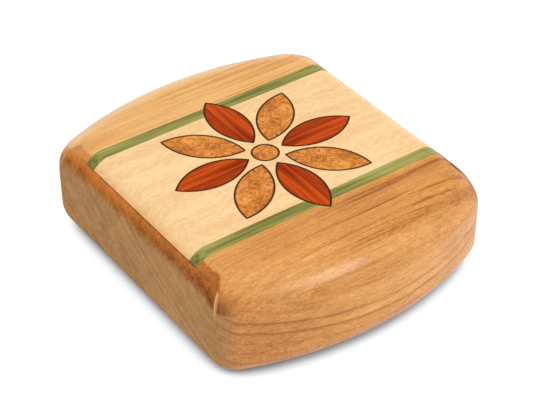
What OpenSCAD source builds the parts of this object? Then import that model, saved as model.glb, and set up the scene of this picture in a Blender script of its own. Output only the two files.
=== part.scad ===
// Palm-size wooden storage box with a hidden drawer.
// The box lies along X, its two sides bow out along Y, and the drawer slides out along minus X.
// The origin is at the middle of the underside.

/* [Box] */
// Length between the two straight ends
box_l = 76; // [72:0.5:84]
// Width across the bowed sides at mid length
bow_w = 89.5; // [84:0.5:94]
// Width where the bows would meet the end planes
end_w = 72; // [68:0.5:76]
// Height of the box
box_h = 26.2; // [25:0.1:32]
// Radius of the four upright corners
corner_r = 7.75; // [7:0.25:10]
// How far the top rounding reaches in from a bowed side
side_round_in = 10.8; // [9.6:0.1:14]
// How far the top rounding reaches down a bowed side
side_round_down = 8.6; // [7:0.1:9]
// How far the top rounding reaches in from a straight end
end_round_in = 7; // [5:0.1:9]
// How far the top rounding reaches down a straight end
end_round_down = 10.9; // [8:0.1:12]
// Radius of the rounding around the underside
foot_round = 6.75; // [4:0.25:6.75]

/* [Case] */
// Thickness of the slice under the drawer
base_t = 4.5; // [4:0.25:6]
// Thickness of the slice over the drawer
top_t = 7; // [6:0.25:8]
// Wall beside the drawer, measured at the end planes
side_wall = 5.5; // [5:0.25:8]
// Wall behind the drawer
end_wall = 8; // [7:0.25:10]

/* [Inlaid band] */
// Width of the band with both its stripes
band_w = 47.2; // [44:0.2:50]
// Width of one stripe
stripe_w = 3.3; // [2:0.1:5]
// Thickness of the band
band_t = 4; // [3.2:0.1:4.5]

/* [Rosette] */
// Thickness of the inlaid rosette pieces
rosette_t = 2; // [1.2:0.1:2.5]
// Diameter of the disc at the middle
hub_d = 7; // [5:0.5:8]
// Distance from the middle to the near tip of a petal
petal_start = 4.6; // [4.4:0.1:6]
// Length of a petal from tip to tip
petal_l = 21; // [19:0.5:21]
// Greatest width of a petal
petal_w = 9.4; // [6:0.1:9.4]

/* [Drawer] */
// Thickness of the slice that is the drawer's front
front_t = 2.6; // [2.4:0.1:3]
// How far the drawer's front laps over the case beside the bay
front_lap = 2.1; // [1.5:0.1:3]
// Open seam between the drawer's front and the case
seam = 0.2; // [0.1:0.05:0.4]
// Running clearance around the tray
run_gap = 0.3; // [0.2:0.05:0.5]
// Room behind the closed tray
back_gap = 0.6; // [0.4:0.1:1.5]
// Thickness of the tray's walls
tray_wall = 3.2; // [2.5:0.1:4]
// Thickness of the tray's floor
tray_floor = 2.4; // [2:0.1:3]
// Thickness of the felt pad
felt_t = 1; // [0.8:0.1:1.5]
// Room left around the felt pad
felt_gap = 0.3; // [0.2:0.1:0.6]

/* [Hidden] */
$fn = 96;

// Bowed sides: an arc over the box length, struck from a centre on the far side of the box.
half_l = box_l / 2;
bow_rise = (bow_w - end_w) / 2;
bow_r = (half_l * half_l + bow_rise * bow_rise) / (2 * bow_rise);
bow_centre = bow_r - bow_w / 2;

// Upright corners: an arc between an end plane and a bow, cut a little short at both ends.
corner_x = half_l - corner_r;
corner_y = sqrt(pow(bow_r - corner_r, 2) - corner_x * corner_x) - bow_centre;
corner_turn = atan2(corner_y + bow_centre, corner_x);
cross_angle = 4;
corner_steps = 8;
function corner_at(a) = [corner_x + corner_r * cos(a), corner_y + corner_r * sin(a)];
corner_first = corner_at(cross_angle);
corner_last = corner_at(corner_turn - cross_angle);
plan_x = corner_first[0] + corner_first[1] * tan(cross_angle);
plan_y = corner_last[1] + corner_last[0] / tan(corner_turn - cross_angle);
corner_arc = [
    for (i = [0:corner_steps])
        corner_at(cross_angle + (corner_turn - 2 * cross_angle) * i / corner_steps)
];

// Roundings: points from the upright wall to the level face, in steps of the turn.
round_steps = 12;
foot_steps = 6;
tight_steps = 5;
wide_steps = 6;
slope_angle = 3;
function quarter(inward, down, steps) = [
    for (i = [0:steps]) [inward * (cos(90 * i / steps) - 1), down * (sin(90 * i / steps) - 1)]
];
foot_arc = quarter(foot_round, foot_round, foot_steps);
// The side rounding has a tight arc at the wall and a wide arc over the shoulder.
tight_share = 0.62;
tight_r = side_round_down * tight_share;
wide_r = (pow(side_round_in - tight_r, 2) + pow(side_round_down, 2) - tight_r * tight_r)
    / (2 * (side_round_down - tight_r));
turn_at = atan2(wide_r - side_round_down, side_round_in - tight_r);
function tight_at(a) = [tight_r * (cos(a) - 1), tight_r * sin(a) - side_round_down];
function wide_at(a) = [wide_r * cos(a) - side_round_in, wide_r * (sin(a) - 1)];
side_arc = concat(
    [for (i = [0:tight_steps - 1]) tight_at(turn_at * i / tight_steps)],
    [for (i = [0:wide_steps]) wide_at(turn_at + (90 - turn_at) * i / wide_steps)]
);

// Drawer opening in the case, and the tray that runs in it.
case_x = -half_l + front_t + seam;
bay_half = end_w / 2 - side_wall;
bay_end = half_l - end_wall;
bay_top = box_h - top_t;
front_half = bay_half + front_lap;
tray_x = -half_l + front_t;
tray_l = bay_end - back_gap - tray_x;
tray_half = bay_half - run_gap;
tray_z = base_t + run_gap;
tray_h = bay_top - base_t - 2 * run_gap;
wall_z = tray_z + tray_floor;
wall_h = tray_h - tray_floor;
felt_l = tray_l - 2 * tray_wall - 2 * felt_gap;
felt_w = 2 * (tray_half - tray_wall - felt_gap);

// Inlay levels.
band_z = box_h - band_t;
rosette_z = box_h - rosette_t;
field_half = band_w / 2 - stripe_w;
petal_arc_r = (petal_l * petal_l / 4 + petal_w * petal_w / 4) / petal_w;
far = 200;

cherry = [0.80, 0.53, 0.30];
cherry_end = [0.58, 0.37, 0.22];
maple = [0.96, 0.84, 0.66];
green_dye = [0.53, 0.56, 0.30];
burl = [0.70, 0.47, 0.25];
redwood = [0.66, 0.20, 0.10];
felt = [0.16, 0.15, 0.14];

// Whole outer shape of the box, with the rounded edges all around.
module outer_shape() {
    intersection() {
        plan_prism();
        end_prism();
        bow_disc(1);
        bow_disc(-1);
    }
}

// Plan with the four rounded corners, reaching past the end planes and the bows between them.
module plan_prism() {
    right_back = corner_arc;
    left_back = [for (i = [corner_steps:-1:0]) [-corner_arc[i][0], corner_arc[i][1]]];
    left_front = [for (p = corner_arc) [-p[0], -p[1]]];
    right_front = [for (i = [corner_steps:-1:0]) [corner_arc[i][0], -corner_arc[i][1]]];
    translate([0, 0, -1])
        linear_extrude(box_h + 2)
            polygon(concat(
                [[plan_x, 0]], right_back, [[0, plan_y]], left_back,
                [[-plan_x, 0]], left_front, [[0, -plan_y]], right_front
            ));
}

// Side view of the straight ends, drawn along Y.
module end_prism() {
    top = [for (p = quarter(end_round_in, end_round_down, round_steps)) [half_l + p[0], box_h + p[1]]];
    foot = [for (p = foot_arc) [half_l + p[0], -p[1]]];
    right = concat([for (i = [foot_steps:-1:0]) foot[i]], top);
    count = len(right);
    left = [for (i = [count - 1:-1:0]) [-right[i][0], right[i][1]]];
    rotate([90, 0, 0])
        translate([0, 0, -bow_w])
            linear_extrude(2 * bow_w)
                polygon(concat(right, left));
}

// Disc whose rounded rim is the bowed side at side = 1 (back) or side = -1 (front).
module bow_disc(side) {
    rim = [for (p = side_arc) [bow_r + p[0], box_h + p[1]]];
    foot = [for (p = foot_arc) [bow_r + p[0], -p[1]]];
    top_rise = (bow_r - side_round_in) * tan(slope_angle);
    foot_drop = (bow_r - foot_round) * tan(slope_angle);
    translate([0, -side * bow_centre, 0])
        rotate_extrude()
            polygon(concat(
                [[0, -foot_drop]],
                [for (i = [foot_steps:-1:0]) foot[i]],
                rim,
                [[0, box_h + top_rise]]
            ));
}

// Part of the outer shape between two heights, with the rebate that the drawer's front lies in.
module case_slice(z0, z1) {
    difference() {
        intersection() {
            outer_shape();
            translate([-far / 2, -far / 2, z0])
                cube([far, far, z1 - z0]);
        }
        translate([case_x - far, -front_half - seam, -far / 2])
            cube([far, 2 * (front_half + seam), far]);
    }
}

// Block over the band's bed, from y0 to y1.
module band_block(y0, y1) {
    translate([-far / 2, y0, band_z])
        cube([far, y1 - y0, far]);
}

// Outline of one petal lying along X: two equal arcs that meet in a point at both tips.
module petal_outline() {
    arc_shift = petal_arc_r - petal_w / 2;
    translate([petal_start + petal_l / 2, 0])
        intersection() {
            translate([0, arc_shift])
                circle(petal_arc_r);
            translate([0, -arc_shift])
                circle(petal_arc_r);
        }
}

// One petal turned about the middle of the rosette.
module petal(turn, height) {
    translate([0, 0, rosette_z])
        rotate([0, 0, turn])
            linear_extrude(height)
                petal_outline();
}

module hub(height) {
    translate([0, 0, rosette_z])
        cylinder(d = hub_d, h = height);
}

// Recesses for the rosette pieces, open at the top.
module rosette_recess() {
    hub(far);
    for (turn = [0:45:315])
        petal(turn, far);
}

// One board of the tray.
module tray_board(x0, y0, z0, size) {
    translate([x0, y0, z0])
        cube(size);
}

module case_base() {
    color(cherry)
        case_slice(-1, base_t);
}

module case_frame() {
    color(cherry)
        difference() {
            case_slice(base_t, bay_top);
            translate([-far, -bay_half, -1])
                cube([far + bay_end, 2 * bay_half, far]);
        }
}

module case_top() {
    color(cherry)
        difference() {
            case_slice(bay_top, far);
            band_block(-band_w / 2, band_w / 2);
            rosette_recess();
        }
}

// One strip of the band, between y0 and y1.
module band_strip(y0, y1) {
    difference() {
        intersection() {
            outer_shape();
            band_block(y0, y1);
            translate([case_x, -far / 2, 0])
                cube(far);
        }
        rosette_recess();
    }
}

module band_field() {
    color(maple)
        band_strip(-field_half, field_half);
}

module stripe_front() {
    color(green_dye)
        band_strip(-band_w / 2, -field_half);
}

module stripe_back() {
    color(green_dye)
        band_strip(field_half, band_w / 2);
}

module rosette_hub() {
    color(burl)
        hub(rosette_t);
}

module petal_red(turn) {
    color(redwood)
        petal(turn, rosette_t);
}

module petal_burl(turn) {
    color(burl)
        petal(turn, rosette_t);
}

module drawer_front() {
    color(cherry_end)
        intersection() {
            outer_shape();
            translate([tray_x - far, -front_half, -1])
                cube([far, 2 * front_half, far]);
        }
}

module tray_floor_board() {
    color(cherry)
        tray_board(tray_x, -tray_half, tray_z, [tray_l, 2 * tray_half, tray_floor]);
}

module tray_side_front() {
    color(cherry)
        tray_board(tray_x, -tray_half, wall_z, [tray_l, tray_wall, wall_h]);
}

module tray_side_back() {
    color(cherry)
        tray_board(tray_x, tray_half - tray_wall, wall_z, [tray_l, tray_wall, wall_h]);
}

// Cross board of the tray between its two sides.
module tray_cross(x0) {
    color(cherry)
        tray_board(x0, tray_wall - tray_half, wall_z, [tray_wall, 2 * (tray_half - tray_wall), wall_h]);
}

module tray_inner_front() {
    tray_cross(tray_x);
}

module tray_inner_back() {
    tray_cross(tray_x + tray_l - tray_wall);
}

module tray_felt() {
    color(felt)
        tray_board(tray_x + tray_wall + felt_gap, -felt_w / 2, wall_z, [felt_l, felt_w, felt_t]);
}

case_base();
case_frame();
case_top();
band_field();
stripe_front();
stripe_back();
rosette_hub();
petal_red(0);  // petal_red_right
petal_red(90);  // petal_red_back
petal_red(180);  // petal_red_left
petal_red(270);  // petal_red_front
petal_burl(45);  // petal_burl_back_right
petal_burl(135);  // petal_burl_back_left
petal_burl(225);  // petal_burl_front_left
petal_burl(315);  // petal_burl_front_right
drawer_front();
tray_floor_board();
tray_side_front();
tray_side_back();
tray_inner_front();
tray_inner_back();
tray_felt();
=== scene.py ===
import math
from types import SimpleNamespace

import bpy
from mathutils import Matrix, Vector


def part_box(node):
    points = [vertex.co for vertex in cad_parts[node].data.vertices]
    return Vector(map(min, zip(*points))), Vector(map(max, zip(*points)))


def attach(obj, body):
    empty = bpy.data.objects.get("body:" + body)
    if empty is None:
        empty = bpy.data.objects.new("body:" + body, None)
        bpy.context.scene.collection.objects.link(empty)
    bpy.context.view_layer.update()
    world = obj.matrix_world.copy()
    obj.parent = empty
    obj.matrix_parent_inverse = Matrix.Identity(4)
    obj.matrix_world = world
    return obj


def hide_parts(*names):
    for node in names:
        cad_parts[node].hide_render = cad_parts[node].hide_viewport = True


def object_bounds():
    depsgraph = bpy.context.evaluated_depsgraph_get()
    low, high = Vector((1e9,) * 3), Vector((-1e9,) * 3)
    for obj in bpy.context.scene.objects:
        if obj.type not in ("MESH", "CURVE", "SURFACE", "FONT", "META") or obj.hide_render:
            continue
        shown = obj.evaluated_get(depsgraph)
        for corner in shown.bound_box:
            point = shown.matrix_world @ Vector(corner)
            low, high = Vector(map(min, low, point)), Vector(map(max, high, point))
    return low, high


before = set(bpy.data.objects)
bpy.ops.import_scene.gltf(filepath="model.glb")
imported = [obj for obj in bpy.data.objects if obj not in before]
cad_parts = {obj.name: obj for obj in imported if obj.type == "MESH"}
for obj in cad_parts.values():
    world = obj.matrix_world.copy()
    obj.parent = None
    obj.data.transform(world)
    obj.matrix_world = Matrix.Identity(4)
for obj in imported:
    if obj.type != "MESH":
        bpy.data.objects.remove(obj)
CAD_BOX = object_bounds()

# Sizes of the box, in metres
MM = 0.001
HALF_L, HALF_W, HEIGHT = CAD_BOX[1]
END_HALF = 36 * MM
CORNER_R = 7.75 * MM
SIDE_IN = 10.8 * MM
SIDE_DOWN = 8.6 * MM
SIDE_TIGHT_SHARE = 0.62
SIDE_TIGHT_R = SIDE_TIGHT_SHARE * SIDE_DOWN
END_IN = 7 * MM
END_DOWN = 10.9 * MM
FOOT_ROUND = 6.75 * MM
END_WALL = 8 * MM
ROSETTE_T = 2 * MM

# Drawer front: its lap over the walls beside the tray, and the arc that draws its sides in
FRONT_LAP = 2.1 * MM
PLATE_HALF = 33.75 * MM
PLATE_TURN_Z = 12.5 * MM
PLATE_TURN_R = 30 * MM
PLATE_TURN_RISE = 14 * MM

# Finish: eased seams, the gap left around the drawer front, scorched rims and eased boards
EASED = 0.3 * MM
TIGHT = 0.03 * MM
SCORCH = 0.65 * MM
BOARD_EASED = 0.45 * MM

# Side seams: where the easing starts, and where and over what height it opens
SIDE_SEAM_FROM = 9 * MM
SIDE_SEAM_OPENS = 15.5 * MM
SIDE_SEAM_OPENING = 4 * MM

# Sizes and places taken from the solids
BASE_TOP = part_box("case_base")[1].z
FRAME_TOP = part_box("case_frame")[1].z
FRONT_BACK, FRONT_HALF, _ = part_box("drawer_front")[1]
BAND_LEFT, _, BAND_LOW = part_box("band_field")[0]
BAND_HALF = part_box("stripe_back")[1].y
SEAM = BAND_LEFT - FRONT_BACK
BAY_HALF = FRONT_HALF - FRONT_LAP
BAY_END = HALF_L - END_WALL
HUB_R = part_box("rosette_hub")[1].x
petal_lo, petal_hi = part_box("petal_red_right")
PETAL_L = petal_hi.x - petal_lo.x
PETAL_W = petal_hi.y - petal_lo.y
PETAL_AT = (petal_hi.x + petal_lo.x) / 2

# Reach of the cutting tools, well past the box on every side
FAR = 0.2

# Bowed sides: arcs struck from a centre on the far side of the box
BOW_RISE = HALF_W - END_HALF
BOW_R = (HALF_L ** 2 + BOW_RISE ** 2) / (2 * BOW_RISE)
BOW_CENTRE = BOW_R - HALF_W

# Side rounding: a tight arc at the wall, then a wide arc over the shoulder
SIDE_WIDE_R = ((SIDE_IN - SIDE_TIGHT_R) ** 2 + SIDE_DOWN ** 2 - SIDE_TIGHT_R ** 2) / (
    2 * (SIDE_DOWN - SIDE_TIGHT_R)
)
SIDE_TURN = math.atan2(SIDE_WIDE_R - SIDE_DOWN, SIDE_IN - SIDE_TIGHT_R)


def end_inset(z):
    """How far an end lies in from its plane at a height above the foot."""
    rise = (z - (HEIGHT - END_DOWN)) / END_DOWN
    if rise <= 0:
        return 0.0
    return END_IN * (1 - math.sqrt(max(0.0, 1 - rise ** 2)))


def side_inset(z):
    """How far a bowed side lies in from its wall at a height above the foot."""
    rise = z - (HEIGHT - SIDE_DOWN)
    if rise <= 0:
        return 0.0
    if rise < SIDE_TIGHT_R * math.sin(SIDE_TURN):
        return SIDE_TIGHT_R - math.sqrt(SIDE_TIGHT_R ** 2 - rise ** 2)
    drop = SIDE_WIDE_R - (HEIGHT - z)
    return SIDE_IN - math.sqrt(max(0.0, SIDE_WIDE_R ** 2 - drop ** 2))


def level(z):
    """Half length, bow radius and corner radius at a height."""
    low = FOOT_ROUND - z
    if low > 0:
        inset = FOOT_ROUND - math.sqrt(max(0.0, FOOT_ROUND ** 2 - low ** 2))
        return HALF_L - inset, BOW_R - inset, CORNER_R - inset
    return HALF_L - end_inset(z), BOW_R - side_inset(z), CORNER_R


def reach(angle, z):
    """Distance from the upright axis to the surface, in one direction at one height."""
    half_l, bow_r, corner_r = level(z)
    c, s = abs(math.cos(angle)), abs(math.sin(angle))
    corner_x = half_l - corner_r
    corner_y = math.sqrt((bow_r - corner_r) ** 2 - corner_x ** 2) - BOW_CENTRE
    along = c * corner_x + s * corner_y
    inside = along ** 2 - corner_x ** 2 - corner_y ** 2 + corner_r ** 2
    if inside > 0:
        far_hit = along + math.sqrt(inside)
        turn = math.atan2(far_hit * s - corner_y, far_hit * c - corner_x)
        if 0 <= turn <= math.atan2(corner_y + BOW_CENTRE, corner_x):
            return far_hit
    end = half_l / max(c, 1e-9)
    bow = math.sqrt(bow_r ** 2 - (BOW_CENTRE * c) ** 2) - BOW_CENTRE * s
    return min(end, bow)


def within(x, y, z):
    """Whether a point lies inside the outer form."""
    return math.hypot(x, y) <= reach(math.atan2(y, x), z)


def halve(inside, lo, hi, halvings=40):
    """Last value between lo (inside) and hi (outside) that is still inside."""
    for _ in range(halvings):
        mid = (lo + hi) / 2
        if inside(mid):
            lo = mid
        else:
            hi = mid
    return lo


def top_z(x, y):
    """Height of the top's surface."""
    return halve(lambda z: within(x, y, z), HEIGHT - END_DOWN, HEIGHT)


def left_x(y, z):
    """Place of the left end's surface along X."""
    return -halve(lambda x: within(-x, y, z), 0.0, HALF_L + MM)


# Mesh helpers
def new_object(name, points, faces):
    mesh = bpy.data.meshes.new(name)
    mesh.from_pydata(points, [], faces)
    mesh.validate()
    obj = bpy.data.objects.new(name, mesh)
    bpy.context.scene.collection.objects.link(obj)
    return obj


def bridge(loops):
    """Points and faces of a closed form: quads between loops of equal length, and a cap on each end."""
    n = len(loops[0])
    faces = []
    for i in range(len(loops) - 1):
        for j in range(n):
            k = (j + 1) % n
            faces.append((i * n + j, i * n + k, (i + 1) * n + k, (i + 1) * n + j))
    faces.append(tuple(reversed(range(n))))
    faces.append(tuple(range((len(loops) - 1) * n, len(loops) * n)))
    return [p for loop in loops for p in loop], faces


def mark_faces(obj, name, value):
    """Gives every face the same value of an attribute, which cuts carry over."""
    layer = obj.data.attributes.new(name, "FLOAT", "FACE")
    for item in layer.data:
        item.value = value


def copy_of(obj, name):
    twin = obj.copy()
    twin.data = obj.data.copy()
    twin.name = name
    bpy.context.scene.collection.objects.link(twin)
    return twin


def bake(obj):
    """Replaces the mesh by its modified form."""
    view = bpy.context.evaluated_depsgraph_get()
    mesh = bpy.data.meshes.new_from_object(obj.evaluated_get(view))
    obj.modifiers.clear()
    obj.data = mesh


def cut(obj, operation, *tools):
    """Intersects or cuts a piece with each tool in turn."""
    for tool in tools:
        step = obj.modifiers.new("cut", "BOOLEAN")
        step.operation = operation
        step.solver = "MANIFOLD"
        step.object = tool
        bake(obj)


def block(lo, hi):
    """Closed box, as a cutting tool or the start of a board."""
    (x0, y0, z0), (x1, y1, z1) = lo, hi
    low = [(x0, y0, z0), (x1, y0, z0), (x1, y1, z0), (x0, y1, z0)]
    high = [(x, y, z1) for x, y, _ in low]
    return new_object("tool", *bridge([low, high]))


def smooth(obj, angle=25):
    """Soft shading on curved stretches, crisp edges elsewhere."""
    obj.data.shade_smooth()
    obj.data.set_sharp_from_angle(angle=math.radians(angle))
    weigh = obj.modifiers.new("even_normals", "WEIGHTED_NORMAL")
    weigh.keep_sharp = True


# Whole outer form of the box, from which the pieces are cut
def quadrant_angles():
    """Directions from 0 to 90 degrees, closer together around the rounded corner."""
    plain, fine = 1.5, 0.5
    corner_from, corner_to = 30, 52
    angles = []
    a = 0.0
    while a < 90 - 1e-6:
        angles.append(a)
        a += fine if corner_from <= a < corner_to else plain
    return angles + [90.0]


def outer_form():
    """Stack of level outlines, from the foot to the top."""
    quadrant = [math.radians(a) for a in quadrant_angles()]
    mirrored = [t for a in quadrant for t in (a, math.pi - a, math.pi + a, math.tau - a)]
    turns = sorted({round(t % math.tau, 9) for t in mirrored})
    foot = [FOOT_ROUND * (1 - math.cos(math.radians(a))) for a in range(0, 90, 9)]
    wall_top = HEIGHT - END_DOWN
    wall = [FOOT_ROUND + (wall_top - FOOT_ROUND) * i / 4 for i in range(4)]
    crown = [wall_top + END_DOWN * math.sin(math.radians(a)) for a in range(0, 91, 3)]
    loops = []
    for z in foot + wall + crown:
        ring = [(reach(t, z), t) for t in turns]
        loops.append([(r * math.cos(t), r * math.sin(t), z) for r, t in ring])
    return new_object("outer", *bridge(loops))


# Outline of the drawer front
def plate_side(z):
    """Half width of the drawer front at a height: upright below, drawn in along a wide arc above."""
    rise = max(0.0, z - PLATE_TURN_Z)
    return PLATE_HALF - PLATE_TURN_R + math.sqrt(PLATE_TURN_R ** 2 - rise ** 2)


def plate_prism(grow, x1, steps=14):
    """The drawer front's outline, moved out by a clearance and drawn along X, as a cutting tool."""
    heights = [-FAR] + [PLATE_TURN_Z + PLATE_TURN_RISE * i / steps for i in range(steps + 1)]
    right = [(plate_side(z) + grow, z) for z in heights]
    outline = right + [(-y, z) for y, z in reversed(right)]
    return new_object("tool", *bridge([[(x, y, z) for y, z in outline] for x in (-FAR, x1)]))


# Eased seams: shallow grooves swept along lines on the surface
def slope(surface, at, step=0.05 * MM):
    """Rate of change of a surface along one direction."""
    return (surface(at + step) - surface(at - step)) / (2 * step)


def top_seam(x, half, steps=80):
    """Sections of the seam across the top, more open along the band than beside it."""
    along_band, beside_band = 0.5 * EASED, 0.1 * EASED
    for i in range(steps + 1):
        y = half * (2 * i / steps - 1)
        slope_x = slope(lambda at: top_z(at, y), x)
        slope_y = slope(lambda at: top_z(x, at), y)
        point = Vector((x, y, top_z(x, y)))
        normal = Vector((-slope_x, -slope_y, 1)).normalized()
        across = Vector((1, 0, slope_x)).normalized()
        yield point, normal, across, along_band if abs(y) < BAND_HALF else beside_band


def side_seam(side, z_low, z_high, steps=40):
    """Sections of the seam up one side of the drawer front, nearly closed below and open above."""
    closed_depth, open_depth = 0.06 * EASED, 1.46 * EASED
    for i in range(steps + 1):
        z = z_low + (z_high - z_low) * i / steps
        y = side * (plate_side(z) + SEAM / 2)
        slope_y = slope(lambda at: left_x(at, z), y)
        slope_z = slope(lambda at: left_x(y, at), z)
        point = Vector((left_x(y, z), y, z))
        normal = Vector((-1, slope_y, slope_z)).normalized()
        across = Vector((slope_y, 1, 0)).normalized()
        opened = min(1.0, max(0.0, (z - SIDE_SEAM_OPENS) / SIDE_SEAM_OPENING))
        yield point, normal, across, closed_depth + (open_depth - closed_depth) * opened ** 2


def groove(sections):
    """V-shaped cutting tool through sections of point, normal, direction across, and depth."""
    lift = MM
    loops = []
    for point, normal, across, depth in sections:
        rim = point + normal * lift
        spread = across * (depth + lift)
        loops.append([tuple(point - normal * depth), tuple(rim + spread), tuple(rim - spread)])
    tool = new_object("tool", *bridge(loops))
    # The groove's faces take the pale seam colour, partly wear and partly a painted highlight
    mark_faces(tool, "wear_and_catchlight", 1.0)
    return tool


# Rosette outlines, moved in from the piece's edge by an inset
def petal_outline(inset, z, steps=24):
    """Petal along X, centred on its length, between two equal arcs."""
    arc_r = (PETAL_L ** 2 + PETAL_W ** 2) / (4 * PETAL_W)
    shift = arc_r - PETAL_W / 2
    r = arc_r - inset
    half_turn = math.acos(shift / r)
    loop = []
    for side in (1, -1):
        for i in range(steps):
            a = half_turn * (1 - 2 * i / steps)
            loop.append((side * r * math.sin(a), side * (r * math.cos(a) - shift), z))
    return loop


def hub_outline(inset, z, steps=48):
    r = HUB_R - inset
    turns = [math.tau * i / steps for i in range(steps)]
    return [(r * math.cos(a), r * math.sin(a), z) for a in turns]


def inlay(name, outline):
    """Flush inlaid piece whose rim carries a scorch mark, which fades over shares of its width."""
    rim = ((0.0, 1.0), (0.3, 1.0), (0.75, 0.55), (1.0, 0.0))
    loops = [outline(0.0, HEIGHT - ROSETTE_T)] + [outline(share * SCORCH, HEIGHT) for share, _ in rim]
    marks = [1.0] + [mark for _, mark in rim]
    piece = new_object(name, *bridge(loops))
    burn = piece.data.attributes.new("scorch", "FLOAT", "POINT")
    n = len(loops[0])
    for i, mark in enumerate(marks):
        for j in range(n):
            burn.data[i * n + j].value = mark
    return piece


def recess(outline):
    """Cutting tool for the bed of an inlaid piece."""
    return new_object("tool", *bridge([outline(0.0, HEIGHT - ROSETTE_T), outline(0.0, HEIGHT + MM)]))


def turn_petal(obj, degrees):
    """Places a petal drawn along X at its distance from the hub, in a direction."""
    turn = math.radians(degrees)
    obj.rotation_euler.z = turn
    obj.location = (PETAL_AT * math.cos(turn), PETAL_AT * math.sin(turn), 0)
    return obj


# Shader helpers
ALONG, ACROSS, UP = (1.0, 0.0, 0.0), (0.0, 1.0, 0.0), (0.0, 0.0, 1.0)


def feed(tree, socket, value):
    """Links a socket to the one that feeds it, or sets it to a value."""
    if isinstance(value, bpy.types.NodeSocket):
        tree.links.new(value, socket)
    else:
        socket.default_value = value


def add(tree, kind, inputs=None, **settings):
    """A shader node; each input is a value or the socket that feeds it."""
    made = tree.nodes.new(kind)
    for key, value in settings.items():
        setattr(made, key, value)
    for key, value in (inputs or {}).items():
        feed(tree, made.inputs[key], value)
    return made


def math_node(tree, operation, *values):
    return add(tree, "ShaderNodeMath", dict(enumerate(values)), operation=operation).outputs[0]


def total(tree, first, *others):
    for other in others:
        first = math_node(tree, "ADD", first, other)
    return first


def times(tree, first, *others):
    for other in others:
        first = math_node(tree, "MULTIPLY", first, other)
    return first


def vector_math(tree, operation, *vectors):
    return add(tree, "ShaderNodeVectorMath", dict(enumerate(vectors)), operation=operation)


def stretch(tree, vector, factors):
    return vector_math(tree, "MULTIPLY", vector, factors).outputs[0]


def rgba(colour):
    """A colour or a grey with full alpha; a socket stays as it is."""
    if isinstance(colour, bpy.types.NodeSocket):
        return colour
    parts = (colour,) * 3 if isinstance(colour, (int, float)) else tuple(colour)
    return parts + (1,)


def ramp(tree, fac, *stops):
    """Colours or greys at positions along a value."""
    made = add(tree, "ShaderNodeValToRGB", {0: fac})
    points = made.color_ramp.elements
    while len(points) < len(stops):
        points.new(0.5)
    for point, (position, colour) in zip(points, stops):
        point.position = position
        point.color = rgba(colour)
    return made.outputs[0]


def mix(tree, fac, a, b, blend_type="MIX"):
    """Colour between a and b."""
    return add(tree, "ShaderNodeMix", {0: fac, 6: rgba(a), 7: rgba(b)},
               data_type="RGBA", blend_type=blend_type).outputs[2]


def blend(tree, fac, a, b):
    """Value between a and b."""
    return add(tree, "ShaderNodeMix", {0: fac, 2: a, 3: b}).outputs[0]


def remap(tree, value, low, high, to_low, to_high):
    """Straight change from one range of values to another, held past its ends."""
    return add(tree, "ShaderNodeMapRange", {"Value": value, "From Min": low, "From Max": high,
                                            "To Min": to_low, "To Max": to_high}).outputs[0]


def fade(tree, value, low, high):
    """Soft step from 0 to 1 between two values."""
    return add(tree, "ShaderNodeMapRange", {"Value": value, "From Min": low, "From Max": high},
               interpolation_type="SMOOTHSTEP").outputs[0]


def noise(tree, vector, scale, detail=3.0, rough=0.55, distortion=0.0):
    made = add(tree, "ShaderNodeTexNoise", {
        "Vector": vector, "Scale": scale, "Detail": detail,
        "Roughness": rough, "Distortion": distortion})
    return made.outputs["Fac"]


def drawn_noise(tree, p, per_mm, detail=3.0, rough=0.55):
    """Noise with a scale of its own along each axis, so that it is drawn out along the grain."""
    return noise(tree, stretch(tree, p, per_mm), 1.0, detail, rough)


def centred(tree, fac, size):
    """A texture value moved to swing evenly about zero, by half the size each way."""
    return times(tree, math_node(tree, "SUBTRACT", fac, 0.5), size)


def facing(tree, axis, both_ways=True):
    """How squarely the surface faces along an axis, 0 to 1, or -1 to 1 where its direction counts."""
    normal = add(tree, "ShaderNodeNewGeometry").outputs["Normal"]
    along = vector_math(tree, "DOT_PRODUCT", normal, axis).outputs["Value"]
    return math_node(tree, "ABSOLUTE", along) if both_ways else along


def attribute(tree, name):
    return add(tree, "ShaderNodeAttribute", attribute_name=name).outputs["Fac"]


def start(name):
    """A new material with its tree, its shader and the place on the box in millimetres."""
    material = bpy.data.materials.new(name)
    material.use_nodes = True
    tree = material.node_tree
    tree.nodes.clear()
    out = add(tree, "ShaderNodeOutputMaterial")
    shader = add(tree, "ShaderNodeBsdfPrincipled")
    tree.links.new(shader.outputs[0], out.inputs[0])
    place = add(tree, "ShaderNodeTexCoord").outputs["Object"]
    in_mm = add(tree, "ShaderNodeVectorMath", {0: place, "Scale": 1 / MM}, operation="SCALE").outputs[0]
    return material, tree, shader, in_mm


def finish_wood(tree, shader, colour, rough, grain, bump, gloss):
    """Satin oil finish over a colour, with a relief that follows the grain."""
    feed(tree, shader.inputs["Base Color"], colour)
    feed(tree, shader.inputs["Roughness"], rough)
    relief = add(tree, "ShaderNodeBump", {"Height": grain, "Strength": bump, "Distance": 0.05 * MM})
    feed(tree, shader.inputs["Normal"], relief.outputs[0])
    shader.inputs["Specular IOR Level"].default_value = gloss


def uneven(tree, grain, rough):
    """Roughness that varies a little with the grain."""
    return remap(tree, grain, 0.0, 1.0, rough + 0.06, rough - 0.06)


# Cherry, from pale to dark: along the grain, on ends rounded over to the top, and on flat ends, whose greyer
# colour is partly end grain and partly a painted pale sheen
CHERRY_LONG = ((0.0, (0.87, 0.515, 0.190)), (0.35, (0.71, 0.337, 0.094)), (1.0, (0.385, 0.120, 0.020)))
CHERRY_TURNED = ((0.0, (0.63, 0.178, 0.017)), (0.35, (0.49, 0.135, 0.011)), (1.0, (0.19, 0.042, 0.005)))
CHERRY_FLAT_AND_SHEEN = ((0.0, (0.65, 0.356, 0.142)), (1.0, (0.295, 0.141, 0.046)))
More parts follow.
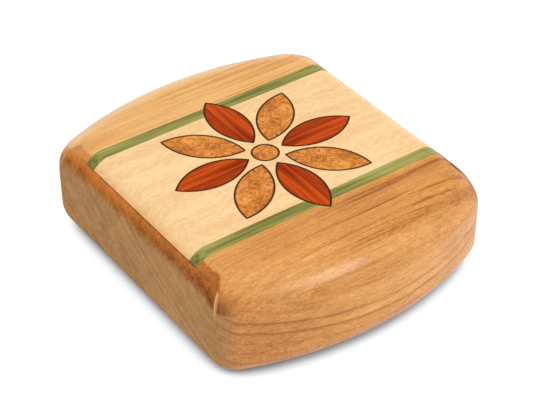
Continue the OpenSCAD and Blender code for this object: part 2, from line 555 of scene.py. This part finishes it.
# Pale colour of the eased seams: partly wear, partly a painted highlight along them
CHERRY_WEAR_AND_CATCHLIGHT = (0.72, 0.38, 0.130)
# Painted: a deeper, less blue colour for level tops, which takes back part of the pale reflection on them
CHERRY_TOP_SHEEN_OFFSET = (1.0, 0.90, 0.74)
CHAR = (0.060, 0.020, 0.006)

# Growth rings: the direction through them, their spacing in mm, and where one of the dark lines lies
RING_LEAN = (0.059, -0.461, 1.0)
RING_SPACING = 3.01
RING_AT = 29.87
RING_PHASE = 0.88


def ring_depth(tree, p):
    """Distance in mm through the growth rings, which lean to the front and waver along the grain."""
    lean = vector_math(tree, "DOT_PRODUCT", p, RING_LEAN).outputs["Value"]
    sway = centred(tree, drawn_noise(tree, p, (0.02, 0.04, 0.04), 2.0), 0.9)
    waver = centred(tree, drawn_noise(tree, p, (0.06, 0.35, 0.35)), 0.6)
    return total(tree, lean, sway, waver)


def growth_rings(tree, depth, upward):
    """Dark latewood lines through the solid wood, two strong and two faint by turns."""
    from_line = math_node(tree, "SUBTRACT", depth, RING_AT)
    turns = total(tree, math_node(tree, "DIVIDE", from_line, RING_SPACING), RING_PHASE)
    late = ramp(tree, math_node(tree, "FRACT", turns), (0.0, 0.08), (0.05, 0.0), (0.50, 0.0),
                (0.76, 0.35), (RING_PHASE, 1.0), (0.94, 0.55), (1.0, 0.08))
    count = times(tree, math_node(tree, "FLOOR", turns), math.pi / 2)
    swing = math_node(tree, "COSINE", math_node(tree, "SUBTRACT", count, 0.63))
    strength = remap(tree, swing, -1.0, 1.0, 0.12, 1.0)
    skimmed = fade(tree, upward, 0.60, 0.28)
    return times(tree, late, strength, skimmed)


def long_lines(tree, p, upward):
    """Thin dark lines along the grain on the top, where rings run out at a shallow angle."""
    field = drawn_noise(tree, p, (0.006, 0.42, 0.10), 3.0, 0.6)
    line = math_node(tree, "ABSOLUTE", math_node(tree, "SUBTRACT", field, 0.53))
    return times(tree, ramp(tree, line, (0.0, 1.0), (0.03, 0.0)), fade(tree, upward, 0.80, 0.95))


def cherry_places(tree, p, end_axis, side_axis):
    """Where a point lies, in mm from the middle of the box, how its surface faces, and how calm
    (towards the back) or figured (towards the right) the wood is there."""
    place = add(tree, "ShaderNodeSeparateXYZ", {0: p})
    lengthwise, across = place.outputs[0], place.outputs[1]
    return SimpleNamespace(
        lengthwise=lengthwise,
        across=across,
        upward=facing(tree, UP),
        square_on=facing(tree, end_axis),
        sideways=facing(tree, side_axis),
        calm=fade(tree, across, 2.0, 24.0),
        figured=fade(tree, lengthwise, -22.0, 14.0),
    )


def cherry_figure(tree, p):
    """Marks of five sizes, each drawn out along the grain."""
    return SimpleNamespace(
        streak=drawn_noise(tree, p, (0.035, 1.2, 1.2), 5.0, 0.62),
        fibre=drawn_noise(tree, p, (0.40, 2.4, 2.4), 4.0, 0.72),
        pores=drawn_noise(tree, p, (1.3, 3.4, 3.4), 2.0, 0.6),
        band=drawn_noise(tree, p, (0.015, 0.33, 0.33)),
        cloud=drawn_noise(tree, p, (0.07, 0.10, 0.10)),
    )


def tone_and_painted_light_by_place(tree, at):
    """Darker at the front left and towards the front, which is painted shade; darker on the right of the
    shoulder, partly the wood and partly painted shade; paler towards the back, partly the wood and partly
    painted light.
    """
    # Painted shade: darker at the front left, low on the box, where less light falls
    shaded = times(tree, fade(tree, at.lengthwise, 6.0, -34.0), fade(tree, at.upward, 0.90, 0.35))
    # Paler towards the back: partly the wood, partly painted light
    paler = blend(tree, fade(tree, at.lengthwise, 2.0, -24.0), -0.16, 0.0)
    # Darker on the right of the shoulder: partly the wood, partly painted shade
    shoulder = times(tree, fade(tree, at.upward, 0.98, 0.85), fade(tree, at.upward, 0.35, 0.60),
                     fade(tree, at.lengthwise, -40.0, 28.0))
    return total(tree, times(tree, at.across, -0.0045), times(tree, shaded, 0.32),
                 times(tree, at.figured, 0.07), times(tree, at.calm, paler), times(tree, shoulder, 0.20))


def cherry_tone(tree, p, at, figure, depth):
    """Tone from pale to dark: growth rings, fine and broad figure, and differences by place, partly painted
    shade and light.
    """
    fine = total(tree, centred(tree, figure.streak, 0.60), centred(tree, figure.fibre, 0.90),
                 centred(tree, figure.pores, 0.85))
    fine = times(tree, fine, blend(tree, at.calm, 1.0, 0.5))
    near_end = fade(tree, at.lengthwise, 31.0, 37.0)
    broad = times(tree, centred(tree, figure.band, 0.50), blend(tree, at.figured, 1.0, 1.8),
                  blend(tree, at.calm, 1.0, 2.2), blend(tree, near_end, 1.0, 0.25))
    ring_weight = blend(tree, fade(tree, at.square_on, 0.6, 0.95), 0.55, 0.22)
    rings = times(tree, growth_rings(tree, depth, at.upward), ring_weight)
    lines = times(tree, long_lines(tree, p, at.upward), blend(tree, at.figured, 0.12, 0.60),
                  blend(tree, at.calm, 1.0, 0.7))
    middle = 0.25
    return total(tree, rings, lines, fine, broad, centred(tree, figure.cloud, 0.45),
                 tone_and_painted_light_by_place(tree, at), middle)


def cherry_end_grain(tree, at, figure, tone, depth, end_tint):
    """Colour across the grain: brown on the flat end, partly a painted pale sheen, burnt orange where it
    rounds over to the top, with painted shade and light by place and slope.
    """
    year_lines = add(tree, "ShaderNodeTexNoise",
                     {"W": depth, "Scale": 0.9, "Detail": 3.0, "Roughness": 0.65},
                     noise_dimensions="1D").outputs["Fac"]
    end_tone = total(tree, tone, centred(tree, year_lines, 0.65))
    # Painted light: the flat end is made lighter towards the front and darker towards the back
    flat_tone = total(tree, end_tone, times(tree, math_node(tree, "MAXIMUM", at.across, -24.0), 0.006))
    flat = ramp(tree, flat_tone, *CHERRY_FLAT_AND_SHEEN)
    # Painted shade: the end rounded over to the top is darker towards the front corner and lighter towards
    # the middle
    mid_width = add(tree, "ShaderNodeClamp", {"Value": at.across, "Min": -16.0, "Max": 6.0}).outputs[0]
    turned_tone = total(tree, end_tone, centred(tree, figure.streak, 0.7), centred(tree, figure.cloud, 0.7),
                        math_node(tree, "MULTIPLY_ADD", mid_width, -0.010, end_tint))
    # Painted shade: darker where the rounded end turns down, away from the top
    lower_edge_shade = ramp(tree, at.upward, (0.38, (0.74, 0.78, 0.70)), (0.56, 1.0))
    turned = mix(tree, 1.0, ramp(tree, turned_tone, *CHERRY_TURNED), lower_edge_shade, "MULTIPLY")
    frayed = total(tree, facing(tree, UP, both_ways=False), centred(tree, figure.streak, 0.10),
                   centred(tree, figure.cloud, 0.30))
    return mix(tree, fade(tree, frayed, 0.24, 0.45), flat, turned)


def end_grain_share(tree, at, fibre):
    """How much end grain shows: by slope on the ends, up to a ragged line on the strips of the top."""
    past_corner = math_node(tree, "MAXIMUM", math_node(tree, "SUBTRACT", at.sideways, 0.19), 0.0)
    cut_across = total(tree, at.square_on, times(tree, at.sideways, 0.74), times(tree, past_corner, -2.9),
                       centred(tree, fibre, 0.16))
    on_strips = times(tree, fade(tree, cut_across, 0.45, 0.60), blend(tree, at.calm, 1.0, 0.7))
    on_ends = fade(tree, at.square_on, 0.30, 1.0)
    return blend(tree, fade(tree, at.upward, 0.55, 0.85), on_ends, on_strips)


def cherry_wood(name, along="X", end_tint=-0.14, gloss=0.30):
    """Cherry: rings through the solid, fibres along the grain, dark end grain, pale seams that are partly
    wear and partly a painted highlight, and painted shade and light by place and slope.
    """
    material, tree, shader, p = start(name)
    end_axis, side_axis = ALONG, ACROSS
    if along == "Y":
        end_axis, side_axis = side_axis, end_axis
        p = add(tree, "ShaderNodeVectorRotate", {"Vector": p, "Angle": math.pi / 2},
                rotation_type="Z_AXIS").outputs[0]
    at = cherry_places(tree, p, end_axis, side_axis)
    figure = cherry_figure(tree, p)
    depth = ring_depth(tree, p)
    tone = cherry_tone(tree, p, at, figure, depth)
    end_grain = cherry_end_grain(tree, at, figure, tone, depth, end_tint)
    how_end = end_grain_share(tree, at, figure.fibre)
    colour = mix(tree, how_end, ramp(tree, tone, *CHERRY_LONG), end_grain)
    # Painted: level tops are deepened against the pale reflection of the finish on them, less so towards the
    # back
    top_sheen_offset = times(tree, fade(tree, at.upward, 0.86, 0.99), blend(tree, at.calm, 1.0, 0.45))
    colour = mix(tree, top_sheen_offset, colour, mix(tree, 1.0, colour, CHERRY_TOP_SHEEN_OFFSET, "MULTIPLY"))
    colour = mix(tree, attribute(tree, "wear_and_catchlight"), colour, CHERRY_WEAR_AND_CATCHLIGHT)
    polished = remap(tree, figure.streak, 0.36, 0.62, 0.44, 0.20)
    rough = blend(tree, how_end, polished, 0.8)
    finish_wood(tree, shader, colour, rough, figure.fibre, 0.15, gloss)
    return material


# The other woods and the felt
def scorched(tree, colour, p):
    """Burnt rim: follows the piece's own mark, frayed a little by noise."""
    fray = centred(tree, noise(tree, p, 2.2, 3.0), 0.5)
    depth = total(tree, attribute(tree, "scorch"), fray)
    return mix(tree, ramp(tree, depth, (0.15, 0.0), (0.75, 1.0)), colour, CHAR)


def end_grain_and_shade(tree, colour, tip):
    """Darker and browner where a strip bends over an end of the box, partly its end grain and partly painted
    shade on faces turned along the box.
    """
    warm = [tuple(tip * part for part in shade) for shade in ((0.99, 0.97, 0.95), (0.95, 0.84, 0.72))]
    darker = ramp(tree, facing(tree, ALONG), (0.44, 1.0), (0.60, warm[0]), (0.72, warm[1]),
                  (0.90, (0.72, 0.58, 0.42)))
    return mix(tree, 1.0, colour, darker, "MULTIPLY")


def plain_wood(name, light, dark, streaks_per_mm, contrast, tip=0.9, burnt=False, gloss=0.2):
    """Straight-grained wood with fine flecks, and either a scorched rim or ends darkened partly by end grain
    and partly by painted shade.
    """
    material, tree, shader, p = start(name)
    streak = drawn_noise(tree, p, streaks_per_mm, 5.0, 0.66)
    broad = drawn_noise(tree, p, (0.03, 0.30, 0.30), 2.0)
    tone = total(tree, centred(tree, streak, 1.6 * contrast), centred(tree, broad, contrast), 0.5)
    colour = ramp(tree, tone, (0.0, light), (1.0, dark))
    colour = scorched(tree, colour, p) if burnt else end_grain_and_shade(tree, colour, tip)
    finish_wood(tree, shader, colour, uneven(tree, streak, 0.42), streak, 0.08, gloss)
    return material


def burl_wood(name, light, middle, dark, gloss=0.08):
    """Swirled burl: clouds of tone, fine flecks along flowing lines, a few dark curls and eyes."""
    material, tree, shader, p = start(name)
    push = add(tree, "ShaderNodeTexNoise", {"Vector": p, "Scale": 0.13, "Detail": 2.0}).outputs["Color"]
    flow = vector_math(tree, "MULTIPLY_ADD", push, (9.0, 9.0, 9.0), p).outputs[0]
    swirl = noise(tree, flow, 0.20, 4.0, 0.6, 1.0)
    fleck = drawn_noise(tree, flow, (0.55, 2.6, 2.6), 4.0, 0.75)
    tone = total(tree, centred(tree, swirl, 1.6), centred(tree, fleck, 2.3), 0.5)
    colour = ramp(tree, tone, (0.1, light), (0.5, middle), (0.95, dark))
    curl = noise(tree, flow, 0.20, 2.0, 0.5, 2.0)
    curl_line = math_node(tree, "ABSOLUTE", math_node(tree, "SUBTRACT", curl, 0.5))
    colour = mix(tree, 1.0, colour, ramp(tree, curl_line, (0.0, 0.50), (0.014, 1.0)), "MULTIPLY")
    eyes = add(tree, "ShaderNodeTexVoronoi", {"Vector": p, "Scale": 0.22}).outputs["Distance"]
    colour = mix(tree, 1.0, colour, ramp(tree, eyes, (0.04, 0.35), (0.09, 1.0)), "MULTIPLY")
    colour = scorched(tree, colour, p)
    finish_wood(tree, shader, colour, uneven(tree, fleck, 0.45), fleck, 0.08, gloss)
    return material


def felt_cloth(name, colour, shade):
    """Wool felt: tangled fibres in soft clumps, with a sheen."""
    material, tree, shader, p = start(name)
    fibre = noise(tree, p, 3.0, 6.0, 0.7, 1.2)
    clump = noise(tree, p, 0.5, 3.0)
    tone = total(tree, times(tree, fibre, 0.6), times(tree, clump, 0.4))
    feed(tree, shader.inputs["Base Color"], ramp(tree, tone, (0.25, shade), (0.75, colour)))
    relief = add(tree, "ShaderNodeBump", {"Height": fibre, "Strength": 0.7, "Distance": 0.2 * MM})
    feed(tree, shader.inputs["Normal"], relief.outputs[0])
    shader.inputs["Roughness"].default_value = 0.95
    shader.inputs["Sheen Weight"].default_value = 0.5
    return material


CHERRY = cherry_wood("cherry")
CHERRY_END = cherry_wood("cherry_end", end_tint=-0.12, gloss=0.14)
CHERRY_CROSS = cherry_wood("cherry_cross", along="Y")
MAPLE = plain_wood("maple", light=(0.97, 0.67, 0.350), dark=(0.87, 0.54, 0.245),
                   streaks_per_mm=(0.5, 2.2, 2.2), contrast=2.2, tip=0.98)
GREEN = plain_wood("green_maple", light=(0.41, 0.38, 0.095), dark=(0.15, 0.155, 0.020),
                   streaks_per_mm=(0.05, 1.6, 1.6), contrast=1.9, tip=0.75)
RED = plain_wood("red_wood", light=(0.70, 0.096, 0.008), dark=(0.25, 0.020, 0.001),
                 streaks_per_mm=(0.04, 1.5, 1.5), contrast=1.7, burnt=True, gloss=0.03)
BURL = burl_wood("burl", light=(0.86, 0.36, 0.078), middle=(0.64, 0.205, 0.030), dark=(0.32, 0.070, 0.009))
FELT = felt_cloth("felt", colour=(0.030, 0.032, 0.030), shade=(0.012, 0.013, 0.012))


def dress(piece, body, node, material, slot):
    """Gives a finished piece its material and its body, and hides the solid that it stands for."""
    piece.data.materials.clear()
    piece.data.materials.append(material)
    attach(piece, body)
    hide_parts(node)


# Case, band and drawer front, cut from the one outer form
outer = outer_form()
mark_faces(outer, "wear_and_catchlight", 0.0)
rebate = plate_prism(SEAM, BAND_LEFT)
bay = block((-FAR, -BAY_HALF, -FAR), (BAY_END, BAY_HALF, FAR))
bed = block((-FAR, -BAND_HALF, BAND_LOW), (FAR, BAND_HALF, FAR))
recesses = [turn_petal(recess(petal_outline), degrees) for degrees in range(0, 360, 45)]
recesses.append(recess(hub_outline))

seam_x = FRONT_BACK + SEAM / 2
seam_top = halve(lambda z: z < top_z(seam_x, plate_side(z)), HEIGHT - END_DOWN, HEIGHT)
seam_overrun = 0.1 * MM
top_groove = groove(top_seam(seam_x, plate_side(seam_top) + SEAM / 2))
side_grooves = [groove(side_seam(side, SIDE_SEAM_FROM, seam_top + seam_overrun)) for side in (1, -1)]
grooves = [top_groove, *side_grooves]


def case_piece(name, z0, z1, *more_cuts):
    """One slice of the case."""
    piece = copy_of(outer, name)
    slab = block((-FAR, -FAR, z0), (FAR, FAR, z1))
    cut(piece, "INTERSECT", slab)
    cut(piece, "DIFFERENCE", rebate, *grooves, *more_cuts)
    bpy.data.objects.remove(slab)
    smooth(piece)
    dress(piece, "case", name, CHERRY, "cherry")


def band_piece(name, material, slot):
    """One strip of the band, which runs out over the right end."""
    lo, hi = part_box(name)
    piece = copy_of(outer, name)
    strip = block(lo, (FAR, hi.y, FAR))
    cut(piece, "INTERSECT", strip)
    cut(piece, "DIFFERENCE", top_groove, *recesses)
    bpy.data.objects.remove(strip)
    smooth(piece)
    dress(piece, "case", name, material, slot)


def drawer_front():
    """End plate of the drawer, which fills its rebate but for a hairline."""
    grow = SEAM - TIGHT
    piece = copy_of(outer, "drawer_front")
    prism = plate_prism(grow, FRONT_BACK + grow)
    cut(piece, "INTERSECT", prism)
    cut(piece, "DIFFERENCE", *grooves)
    bpy.data.objects.remove(prism)
    smooth(piece)
    dress(piece, "drawer", "drawer_front", CHERRY_END, "cherry_end_grain")


case_piece("case_base", -FAR, BASE_TOP)
case_piece("case_frame", BASE_TOP, FRAME_TOP, bay)
case_piece("case_top", FRAME_TOP, FAR, bed, *recesses)
band_piece("band_field", MAPLE, "maple")
band_piece("stripe_front", GREEN, "green_maple")
band_piece("stripe_back", GREEN, "green_maple")
drawer_front()
for tool in [outer, rebate, bay, bed, *grooves, *recesses]:
    bpy.data.objects.remove(tool)

# Rosette: petals of two woods by turns, counted around from a first direction
PETALS = (
    ("petal_red", RED, "red_wood", 0, ("right", "back", "left", "front")),
    ("petal_burl", BURL, "burl", 45, ("back_right", "back_left", "front_left", "front_right")),
)
for family, material, slot, first, places in PETALS:
    for i, place in enumerate(places):
        name = family + "_" + place
        petal = turn_petal(inlay(name, petal_outline), first + 90 * i)
        dress(petal, "case", name, material, slot)
dress(inlay("rosette_hub", hub_outline), "case", "rosette_hub", BURL, "burl")


# Drawer tray
def board(name, material):
    """One board of the tray, with eased edges."""
    piece = block(*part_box(name))
    piece.name = name
    ease = piece.modifiers.new("ease", "BEVEL")
    ease.width = BOARD_EASED
    ease.segments = 3
    bake(piece)
    smooth(piece, 40)
    dress(piece, "drawer", name, material, "cherry")


def felt_height(x, y, size_x, size_y, thick):
    """Height of the felt's top: rounded off at the edges, with a slight nap inside."""
    edge = min(x, y, size_x - x, size_y - y)
    soft = min(1.0, edge / thick)
    rounded = math.sqrt(max(0.0, 1 - (1 - soft) ** 2))
    nap = 0.04 * math.sin(2100 * x + 3 * math.sin(900 * y)) * math.sin(1700 * y)
    return thick * (0.45 + 0.5 * rounded + nap * soft)


def felt_pad(nx=72, ny=64):
    """Felt pad on the tray's floor: a flat underside, a soft top and a rim between them."""
    lo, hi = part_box("tray_felt")
    size_x, size_y, thick = hi.x - lo.x, hi.y - lo.y, hi.z - lo.z
    grid = [(size_x * i / nx, size_y * j / ny) for j in range(ny + 1) for i in range(nx + 1)]
    points = [(lo.x + x, lo.y + y, lo.z) for x, y in grid]
    points += [(lo.x + x, lo.y + y, lo.z + felt_height(x, y, size_x, size_y, thick)) for x, y in grid]
    row, layer = nx + 1, len(grid)
    faces = []
    for j in range(ny):
        for i in range(nx):
            a = j * row + i
            faces.append((a, a + row, a + row + 1, a + 1))
            faces.append((layer + a, layer + a + 1, layer + a + row + 1, layer + a + row))
    rim = list(range(nx)) + [j * row + nx for j in range(ny)]
    rim += [ny * row + i for i in range(nx, 0, -1)] + [j * row for j in range(ny, 0, -1)]
    for k, a in enumerate(rim):
        b = rim[(k + 1) % len(rim)]
        faces.append((a, b, b + layer, a + layer))
    piece = new_object("tray_felt", points, faces)
    smooth(piece, 50)
    dress(piece, "drawer", "tray_felt", FELT, "felt")


board("tray_floor_board", CHERRY)
board("tray_side_front", CHERRY)
board("tray_side_back", CHERRY)
board("tray_inner_front", CHERRY_CROSS)
board("tray_inner_back", CHERRY_CROSS)
felt_pad()


# Stage: pale floor, soft light, camera where the photograph was taken
# Painted contact shadow: seen by the camera and in reflections, the floor glows white and an occlusion ramp
# darkens it near the box; a tenth is the floor lit by the lamps
CONTACT_REACH = 12 * MM
CONTACT_SHADOW = (
    (0.20, (0.10, 0.125, 0.145)), (0.28, (0.28, 0.312, 0.335)), (0.345, (0.55, 0.585, 0.605)),
    (0.41, (0.75, 0.785, 0.805)), (0.45, (0.85, 0.885, 0.905)), (0.50, (0.93, 0.965, 0.985)), (0.58, 1.0),
)


def floor(size=3.0):
    """White floor with a painted neutral contact shadow, which lights the box as plain pale paper does."""
    corners = [(-size, -size, 0), (size, -size, 0), (size, size, 0), (-size, size, 0)]
    plane = new_object("floor", corners, [(0, 1, 2, 3)])
    material = bpy.data.materials.new("floor_white")
    material.use_nodes = True
    tree = material.node_tree
    tree.nodes.clear()
    paper = add(tree, "ShaderNodeBsdfDiffuse", {"Color": rgba(0.90)})
    open_sky = add(tree, "ShaderNodeAmbientOcclusion", {"Distance": CONTACT_REACH}, samples=16).outputs["AO"]
    glow = add(tree, "ShaderNodeEmission", {0: ramp(tree, open_sky, *CONTACT_SHADOW)})
    lit = add(tree, "ShaderNodeBsdfDiffuse", {"Color": rgba(2.2)})
    lit_share = 0.1
    white = add(tree, "ShaderNodeMixShader", {0: lit_share, 1: glow.outputs[0], 2: lit.outputs[0]})
    path = add(tree, "ShaderNodeLightPath").outputs
    looked_at = math_node(tree, "MAXIMUM", path["Is Camera Ray"], path["Is Glossy Ray"])
    looked_at = math_node(tree, "MAXIMUM", looked_at, path["Is Transmission Ray"])
    seen = add(tree, "ShaderNodeMixShader", {0: looked_at, 1: paper.outputs[0], 2: white.outputs[0]})
    add(tree, "ShaderNodeOutputMaterial", {0: seen.outputs[0]})
    plane.data.materials.append(material)


def aim(obj, at, target):
    """Places a lamp or camera, turned to look at a point."""
    obj.location = at
    obj.rotation_euler = (target - at).to_track_quat("-Z", "Y").to_euler()
    bpy.context.scene.collection.objects.link(obj)


def lamp(name, at, width, height, power):
    data = bpy.data.lights.new(name, "AREA")
    data.shape = "ELLIPSE"
    data.size = width
    data.size_y = height
    data.energy = power
    aim(bpy.data.objects.new(name, data), Vector(at), Vector((0, 0, 0.01)))


def studio():
    """Pale surround, brightest low down, with a broad lamp overhead and a small one at the front right."""
    world = bpy.data.worlds.new("studio")
    world.use_nodes = True
    tree = world.node_tree
    ground = tree.nodes["Background"]
    ground.inputs["Color"].default_value = rgba(1.0)
    seen = add(tree, "ShaderNodeLightPath").outputs["Is Camera Ray"]
    way = add(tree, "ShaderNodeTexCoord").outputs["Generated"]
    upward = add(tree, "ShaderNodeSeparateXYZ", {0: way}).outputs[2]
    surround = remap(tree, upward, 0.1, 0.5, 1.5, 0.42)
    feed(tree, ground.inputs["Strength"], blend(tree, seen, surround, 1.0))
    bpy.context.scene.world = world
    lamp("key", at=(0.22, -0.62, 0.59), width=0.38, height=0.28, power=2.9)
    lamp("overhead", at=(0.0, 0.25, 1.3), width=1.6, height=1.6, power=6.8)


def camera():
    """Camera at the photograph's angle and distance, with its field of view."""
    target = Vector((-0.60, -2.73, 13.11)) * MM
    azimuth, elevation = math.radians(-35.81), math.radians(38.23)
    distance = 384.72 * MM
    level_part = math.cos(elevation)
    back = Vector((math.sin(azimuth) * level_part, -math.cos(azimuth) * level_part, math.sin(elevation)))
    data = bpy.data.cameras.new("camera")
    data.lens = 106.43
    data.sensor_width = 36.0
    data.clip_start = 0.01
    obj = bpy.data.objects.new("camera", data)
    aim(obj, target + back * distance, target)
    bpy.context.scene.camera = obj


floor()
studio()
camera()
bpy.context.scene.view_settings.view_transform = "Standard"
